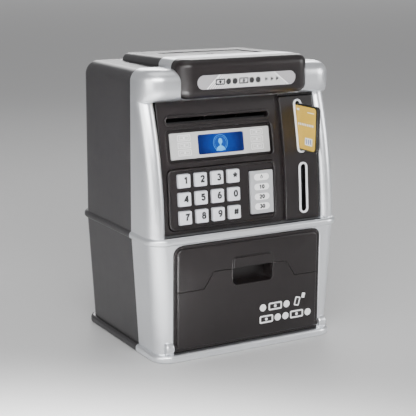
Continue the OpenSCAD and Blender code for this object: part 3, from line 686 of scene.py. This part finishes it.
def slope(shape):
    for v in shape.bm.verts:
        v.co.z = sloped(v.co.z, v.co.y)
    return shape


def cross_outline(arm, half, y):
    """A plus sign centred on (0, y)."""
    corner = [(half, -arm), (half, -half), (arm, -half), (arm, half), (half, half), (half, arm)]
    return [(x, y + z) for x, z in corner + [(-x, -z) for x, z in corner]]


def make_rear_casing():
    mine = dict(slot="black_casing_plastic", stands_for=["rear_casing"])
    piece(rear_walls(), "rear_walls", **mine)
    block, hollow = rear_top()
    piece(block, "rear_top", cuts=[hollow, back_holes()], **mine)
    piece(Shape().levels(c_ring(BASE_HALF, 55.8, BEAD_CORNER, 5, 0, BASE_TOP, 1.5, 2.1)), "base_ring_rear",
          **mine)
    piece(Shape().levels(c_ring(BELT_HALF, 54.8, BEAD_CORNER, 4.5, BELT_LOW, BELT_HIGH, 1.5, 2.2)), "belt_rear",
          **mine)
    hood = [(181, 0)] + [(185 + h, d) for h, d in rounding(5, 8)]
    piece(slope(Shape().levels([(z, u_path(HOOD_HALF - d, HOOD_FRONT, 38 - d, 6 - d)) for z, d in hood])),
          "hood_rear", soft=0.2, cuts=[slope(Shape().prism(battery_opening(), 188.2, 192, "z"))], **mine)
    rim = [(188.3, 0), (189.2, 0), (189.4, 0.07), (189.45, 0.25)]
    lid = Shape().levels([(z, outline(-30.7 + d, 30.7 - d, -17.3 + d, 16.1 - d, 2 - d)) for z, d in rim])
    piece(slope(lid), "battery_lid", cuts=[slope(Shape().rod("z", 188.7, 192, 2.6, 0, COVER_MID))], soft=0.15,
          slot="black_casing_plastic", stands_for=["battery_cover"])
    piece(slope(Shape().rod("z", 188.5, 189.2, 2.2, 0, COVER_MID, 0.3)), "cover_screw", "steel",
          cuts=[slope(Shape().prism(cross_outline(1.3, 0.3, COVER_MID), 188.7, 192, "z"))],
          stands_for=["battery_cover_screw"])


# ---------------------------------------------------------------- sign


def frame_of(shape, rect, width, front, back):
    """A thin printed outline of a rounded rectangle."""
    x0, x1, z0, z1, r = rect
    return shape.sheet(rect, [(x0 + width, x1 - width, z0 + width, z1 - width, r - width)], front, back, 0.01)


def disc(shape, x, z, r, front, back, tall=None):
    """A thin printed disc, or an ellipse when tall gives its other radius."""
    return shape.prism(arc(x, z, r, tall or r, 0, 360, 24)[:-1], front, back)


def sign_hatch(front):
    """Fine slanting lines inside a trapezium, and the trapezium's two slanting sides."""
    shape = Shape()
    low, high = 171.7, 179.95
    lean, spacing, width = 0.9, 1.75, 0.62

    def reach(z):
        t = (z - low) / (high - low)
        return -29.2 + 8.6 * t, 30.6 - 11 * t

    heights = [low + (high - low) * k / 40 for k in range(41)]
    x = -36.0
    while x < 31:
        inside = [z for z in heights if reach(z)[0] < x + lean * (z - low) < reach(z)[1]]
        if len(inside) > 3:
            line = [(x + lean * (z - low), z) for z in (inside[0], inside[-1])]
            shape.prism(ribbon(line, width), front - 0.02, front + 0.08)
        x += spacing
    for side in (0, 1):
        shape.prism(ribbon([(reach(low)[side], low), (reach(high)[side], high)], 0.7), front - 0.03, front + 0.08)
    return shape


def sign_icons(front):
    """Generic banknotes, coins and arrows in place of lettering."""
    shape = Shape()
    back = front + 0.06
    middle = 175.7
    for x in (-19.9, -2.9):
        frame_of(shape, (x - 3.4, x + 3.4, middle - 1.9, middle + 1.9, 0.5), 0.8, front, back)
        disc(shape, x, middle, 0.95, front, back)
    for x in (-14.0, -9.3, 3.0, 7.7):
        disc(shape, x, middle, 1.9, front, back)
    for x in (14.0, 18.2, 22.2):
        shape.prism([(x - 1.1, 174.4), (x + 1.2, 175.8), (x - 1.1, 177.2)], front, back)
    return shape


def make_sign():
    piece(Shape().levels(soft_levels(47.7, VISOR_BACK, -48.4, 9, 165.6, 190, 5.5, 10)), "visor",
          "black_panel_plastic", stands_for=["sign_visor"], soft=0.3,
          cuts=[Shape().prism(outline(-36.4, 36.4, 171, 180.6, 4.79, 12), -50, -47.7)])
    film = Shape().slab((-36, 36, 171.4, 180.2, 4.39), [(-47.6, 0), (-48.1, 0), (-48.2, 0.1)], 12)
    piece(film, "sign_film", "silver_print", stands_for=["sign_label"], material="sign_film")
    piece(sign_hatch(-48.23), "sign_hatch", "white_ink")
    piece(sign_icons(-48.27), "sign_icons", "card_black", material="black_ink")


# ---------------------------------------------------------------- control panel and keys


PANEL = (81.2, 163.8)
DISPLAY_Z = 136.1
NOTE_SLOT = (-15.15, 151.6)
CARD_SLOT = (45.05, 142.2)
COIN_SLOT = (45.4, 102.05)
KEYS_LEFT = -43.75
KEY_STEP = (11.95, 11.65)
OVALS_X = 13.45
OVALS_Z = (9.05, 2.7, -3.7, -10.05)


def pill(x, z, half_x, half_z):
    """The rectangle of a slot with round ends."""
    return (x - half_x, x + half_x, z - half_z, z + half_z, min(half_x, half_z) - 0.01)


def make_panel():
    black = "black_panel_plastic"
    main = Shape().sheet((-58.3, 28.4, *PANEL, 0.5),
                         [pill(*NOTE_SLOT, 38.05, 2.6), (-53.5, 24.2, 126.0, 146.2, 2.5),
                          (-55.1, 24.4, 83.75, 122.25, 4)], 0, 4.6, 0.35, 0.7)
    piece(main.cut_levels(82, 163).bend_to_panel(), "panel_main", black, stands_for=["control_panel"])
    slots = [pill(*CARD_SLOT, 3.2, 17.85), pill(*COIN_SLOT, 3.45, 17.1)]
    back = Shape().sheet((28, 58.2, *PANEL, 0.3), slots, 1.5, 2.6, 0.01, 0.01)
    back.slab((31.7, 58.3, 162.1, PANEL[1], 0.3), [(2.4, 0), (0.2, 0), (0, 0.2)])
    back.slab((57.75, 58.3, PANEL[0], 163, 0.1), [(2.4, 0), (0.1, 0), (0, 0.1)])
    piece(back.cut_levels(82, 163).bend_to_panel(), "panel_frame", black, stands_for=["control_panel"])
    tray = Shape().slab((-53.8, 24.5, -10.4, 10.4, 2.5), [(4.5, 0), (3.2, 0)])
    piece(tray.move(on_panel(DISPLAY_Z)), "display_tray", black, stands_for=["control_panel"])
    reader = Shape().sheet((31.6, 57.5, 81.6, 161.9, 1.0), slots, -1.2, 1.8, 0.6, 0.1)
    piece(reader.cut_levels(82, 161).bend_to_panel(), "reader_face", black, stands_for=["reader_panel"])
    slot_rim = Shape().sheet(pill(0, 0, 38.45, 3.5), [pill(0, 0, 37.55, 1.65)], -0.9, 3.2, 0.42)
    piece(slot_rim.move(on_panel(NOTE_SLOT[1]) @ place(NOTE_SLOT[0])), "note_slot_rim", black,
          stands_for=["note_slot_bezel"])
    for name, (x, z), half, tall, opening in (("card", CARD_SLOT, 3.15, 17.8, (1.8, 16.4)),
                                              ("coin", COIN_SLOT, 3.4, 17.05, (2.0, 15.65))):
        here = on_panel(z) @ place(x)
        mine = dict(slot="white_trim", stands_for=[name + "_slot_trim"])
        ring = Shape().sheet(pill(0, 0, half, tall), [pill(0, 0, *opening)], -1.9, -0.9, 0.6)
        piece(ring.move(here), name + "_slot_ring", **mine)
        # The sleeve inside the white trim is drawn in black plastic instead of the trim's white: painted shade
        # inside the slot.
        painted_shade_throat = Shape().sheet(pill(0, 0, half - 0.1, tall - 0.1), [pill(0, 0, *opening)], -0.9, 1.8, 0.02)
        piece(painted_shade_throat.move(here), name + "_slot_throat", material="black_panel_plastic", **mine)


def make_display():
    here = on_panel(DISPLAY_Z)
    plate = Shape().sheet((-50, 23.1, -8.4, 8.2, 0.8), [(-30, 3.7, -6.4, 6.1, 1.2)], 2.2, 3.2, 0.2)
    piece(plate.move(here), "display_film", "silver_print", stands_for=["display_plate"], material="display_film")
    boxes = Shape()
    ink = (2.17, 2.21)
    for x in (-39.9, 13.6):
        for z in (4.9, 0.25, -4.4):
            frame_of(boxes, (x - 4.7, x + 4.7, z - 1.9, z + 1.9, 0.4), 0.42, *ink)
            frame_of(boxes, (x - 3.3, x + 3.3, z - 0.95, z + 0.95, 0.3), 0.3, *ink)
            disc(boxes, x, z, 0.7, *ink)
    piece(boxes.move(here), "display_boxes", "white_ink", material="faint_ink")
    piece(Shape().slab((-29.9, 3.6, -6.3, 6, 1.2), [(3.1, 0), (2.6, 0), (2.5, 0.1)]).move(here), "screen_glass",
          "screen", stands_for=["display_window"])
    ring = Shape()
    frame_of(ring, (-18.9, -8.3, -5.35, 5.25, 5.2), 0.3, 2.44, 2.5)
    frame_of(ring, (-17.9, -9.3, -4.35, 4.25, 4.2), 0.16, 2.45, 2.5)
    piece(ring.move(here), "screen_ring", "screen", material="screen_ring")
    figure = Shape()
    disc(figure, -13.6, 1.0, 1.45, 2.44, 2.5, 1.9)
    figure.prism([(-14.1, -2.0), (-13.1, -2.0), (-13.1, 0.0), (-14.1, 0.0)], 2.44, 2.5)
    figure.prism([(-16.9, -5.0), (-10.3, -5.0)] + arc(-13.6, -5.0, 3.3, 3.2, 12, 168, 14), 2.45, 2.5)
    piece(figure.move(here), "screen_figure", "screen", material="screen_figure")


def make_keypad():
    black = "black_panel_plastic"
    rim = Shape().sheet((-55, 24.3, -19.2, 19.3, 4), [(-53.6, 22.9, -17.8, 17.9, 2.8)], -1, 1.8, 0.66)
    piece(rim.move(ON_KEYPAD), "keypad_rim", black, stands_for=["keypad_bezel"])
    openings = []
    for row, names in enumerate(KEYS):
        for column, name in enumerate(names):
            x, z = KEYS_LEFT + KEY_STEP[0] * column, KEY_STEP[1] * (1 - row)
            openings.append((x - 4.6, x + 4.6, z - 4.6, z + 4.6, 0.9))
            make_key(name, x, z)
    openings.append((3.6, 22.75, -15.8, 14.4, 1))
    floor = Shape().sheet((-54, 23.3, -18.2, 18.3, 3), openings, 0, 1.8, 0.3, 0.35)
    floor.slab((3.2, 23, -16.2, 14.8, 1), [(2.6, 0), (1.4, 0)])
    piece(floor.move(ON_KEYPAD), "keypad_floor", black, stands_for=["keypad_bezel"])
    film = Shape().slab((5.1, 22.2, -14.7, 13.2, 0.8), [(1.4, 0), (-0.4, 0), (-0.6, 0.22)])
    piece(film.move(ON_KEYPAD), "function_film", "silver_print", stands_for=["function_plate"])
    ovals = Shape()
    for z in OVALS_Z:
        ovals.slab(pill(OVALS_X, z, 5.65, 2.15), [(-0.55, 0), (-0.68, 0)], 10)
    piece(ovals.move(ON_KEYPAD), "function_ovals", "white_ink")
    printed = dict(slot="card_black", material="black_ink")
    power = frame_of(Shape(), (12.45, 14.45, 8.05, 10.05, 0.98), 0.4, -0.74, -0.68)
    power.prism([(13.2, 9.2), (13.7, 9.2), (13.7, 10.6), (13.2, 10.6)], -0.75, -0.68)
    piece(power.move(ON_KEYPAD), "function_off_mark", **printed)
    for text, z in zip(("10", "20", "30"), OVALS_Z[1:]):
        mark = lettering(text, 2.6, 1.3).move(ON_KEYPAD @ place(OVALS_X, -0.72, z))
        piece(mark, "function_mark_" + text, **printed)


def make_key(name, x, z):
    crown = [(1.9, 0), (-1.1, 0), (-1.5, 0.08), (-1.78, 0.24), (-1.95, 0.5), (-2.0, 0.85)]
    cap = Shape().slab((x - 4.3, x + 4.3, z - 4.3, z + 4.3, 0.9), crown, 6)
    cap.slab((x - 5.1, x + 5.1, z - 5.1, z + 5.1, 1), [(2.8, 0), (1.9, 0)])
    piece(cap.move(ON_KEYPAD), name + "_cap", "key_plastic", body=name, stands_for=[name])
    text = {"key_star": "*", "key_hash": "#"}.get(name, name[-1])
    legend = lettering(text, 4.3, 1.08).move(ON_KEYPAD @ place(x + 0.8, -2.02, z + 0.45))
    piece(legend, name + "_legend", "card_black", body=name, material="black_ink")


CARD_OUT = -62.6


def make_card():
    """The bank card, part way out of its slot; its printed face looks to the left."""
    rings = [(43.85, 0.3), (43.93, 0.12), (44.1, 0), (46.0, 0), (46.17, 0.12), (46.25, 0.3)]
    y0, y1 = CARD_OUT, CARD_OUT + 47.6
    blank = Shape().skin([[(x, y, z) for y, z in outline(y0 + d, y1 - d, 127.2 + d, 157.2 - d, 3 - d)]
                          for x, d in rings])
    piece(blank, "card_blank", "card_black", body="card", stands_for=["bank_card"])
    film = Shape().prism(outline(y0 + 1.7, y1 - 2, 128.2, 156.2, 2.2), 43.7, 43.86, "x")
    piece(film, "card_film", "card_gold", body="card", stands_for=["card_label"])
    white, blue = Shape(), Shape()
    for patch in ((-58.0, -49.5, 131.2, 136.2, 0.6), (-42.4, -39.4, 153.0, 154.4, 0.4),
                  (-59.0, -51.5, 152.4, 153.0, 0.2)):
        white.prism(outline(*patch), 43.66, 43.72, "x")
    for k in range(9):
        y = -58.6 + 2.0 * k
        white.prism(outline(y, y + 1.2, 143.6, 145.2, 0.4), 43.67, 43.72, "x")
    for k in range(3):
        y = -56.9 + 2.4 * k
        blue.prism([(y, 132.1), (y + 0.9, 132.1), (y + 1.6, 135.3), (y + 0.7, 135.3)], 43.63, 43.7, "x")
    piece(white, "card_print", "white_ink", body="card")
    piece(blue, "card_bars", "screen", body="card", material="card_blue")


# ---------------------------------------------------------------- door


PULL = (-12.5, 17.7)
PULL_FOOT, PULL_TOP = 45.1, 63.2
FLAP_FOOT = 56.2
GROOVE_Z = 45.5
HINGE_Y, HINGE_Z = -51, 9.2


def door_grooves():
    """Two lines which run in from the door's sides and rise to the pull recess."""
    shape = Shape()
    for route in ([(-55, GROOVE_Z), (-33.8, GROOVE_Z), (-26.5, FLAP_FOOT), (-12, FLAP_FOOT)],
                  [(56, GROOVE_Z), (35.1, GROOVE_Z), (27.8, FLAP_FOOT), (17, FLAP_FOOT)]):
        shape.prism(ribbon(route, 0.5), -53.3, -55)
    return shape


def make_door():
    mine = dict(slot="black_panel_plastic", body="door", stands_for=["door"])
    lip = Shape().sheet((-54.8, 54.8, 5.8, 75.1, 5.7, 0.4), [(*PULL, PULL_FOOT, 56.4, 3.0)], -52.4, -50.2, 0.3)
    piece(lip, "door_lip", **mine)
    crown = [(-52.3, 0), (-52.75, 0.05), (-53.2, 0.22), (-53.55, 0.5), (-53.8, 0.9), (-53.9, 1.4)]
    recess = Shape().prism(outline(*PULL, PULL_FOOT, 58, 3.0), -50, -56)
    piece(Shape().slab((-53.1, 53.1, 7.3, 73.4, 4.6, 1.5), crown), "door_face", cuts=[recess, door_grooves()],
          soft=0.18, soft_steps=2, sharp=30, **mine)
    flap = Shape().slab((*PULL, FLAP_FOOT, PULL_TOP, 3.0, 0.3),
                        [(-52.2, 0), (-54.0, 0), (-54.4, 0.15), (-54.62, 0.4), (-54.7, 0.8)])
    piece(flap, "pull_flap", **mine)
    rim = Shape().sheet((PULL[0] - 0.8, PULL[1] + 0.8, PULL_FOOT - 0.8, PULL_TOP + 0.8, 3.8),
                        [(*PULL, PULL_FOOT, PULL_TOP, 3.0)], -54.25, -53.7, 0.35)
    piece(rim, "pull_rim", **mine)
    knuckles = Shape()
    for x0, x1 in ((-54.8, -46), (46, 54.8)):
        knuckles.rod("x", x0, x1, 2.8, HINGE_Y, HINGE_Z, 0.3)
    piece(knuckles, "door_knuckles", **mine)


# ---------------------------------------------------------------- build

make_front_casing()
make_rear_casing()
make_sign()
make_panel()
make_display()
make_keypad()
make_card()
make_door()
